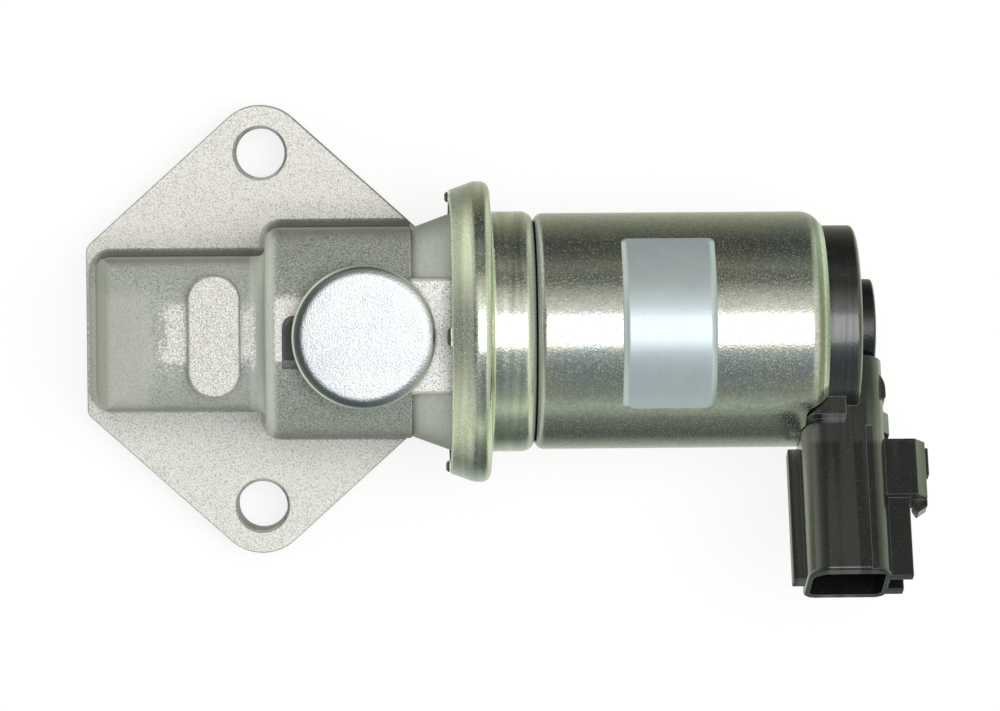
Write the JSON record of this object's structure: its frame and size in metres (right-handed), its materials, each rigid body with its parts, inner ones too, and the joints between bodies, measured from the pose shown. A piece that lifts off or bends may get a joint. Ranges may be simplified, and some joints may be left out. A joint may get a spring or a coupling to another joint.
{
  "type": "idle air control valve",
  "caption": "Solenoid idle air valve: cast two-bolt valve body with two air ports, staked steel collar and can, moulded end cap with blade connector socket.",
  "frame": {"origin": "middle of the two bolt holes on the mounting face", "axes": "+Z out of the mounting face into the valve, +X along the solenoid axis towards the end cap, +Y along the line of the bolt holes, away from the connector socket"},
  "size_m": [0.1166, 0.0683, 0.0424],
  "materials": {
    "casting": "blasted die casting",
    "zinc_steel": "zinc plated, pale yellow passivation",
    "bright_steel": "bright",
    "core_steel": "turned",
    "spring_steel": "drawn wire",
    "brass": "turned",
    "tinned_brass": "tin plated",
    "copper": "enamelled wire",
    "black_plastic": "moulded, slight gloss",
    "bobbin_plastic": "moulded",
    "rubber": "matt",
    "label_film": "satin silver film"
  },
  "bodies": {
    "valve": {"valve_body": "casting", "boss_cap": "bright_steel", "crimp_collar": "zinc_steel", "body_seal": "rubber", "solenoid_can": "zinc_steel", "rating_label": "label_film", "fixed_pole": "core_steel", "rod_seal": "rubber", "pole_bush": "brass", "guide_tube": "brass", "coil_bobbin": "bobbin_plastic", "coil_winding": "copper", "flux_washer": "core_steel", "end_seal": "rubber", "connector_housing": "black_plastic", "terminal_left": "tinned_brass", "terminal_right": "tinned_brass", "seat_insert": "brass", "rod_end_bush": "brass", "return_spring": "spring_steel", "armature_spring": "spring_steel"},
    "plunger": {"armature": "core_steel", "valve_rod": "bright_steel", "poppet": "brass", "poppet_face": "rubber", "poppet_clip": "spring_steel"}
  },
  "joints": [
    {"name": "plunger_slide", "type": "slide", "parent": "valve", "child": "plunger", "axis": [-1, 0, 0], "range_m": [0, 0.003], "stiffness_N_per_m": 1500, "springref_m": -0.001, "deforming": ["return_spring", "armature_spring"]}
  ]
}
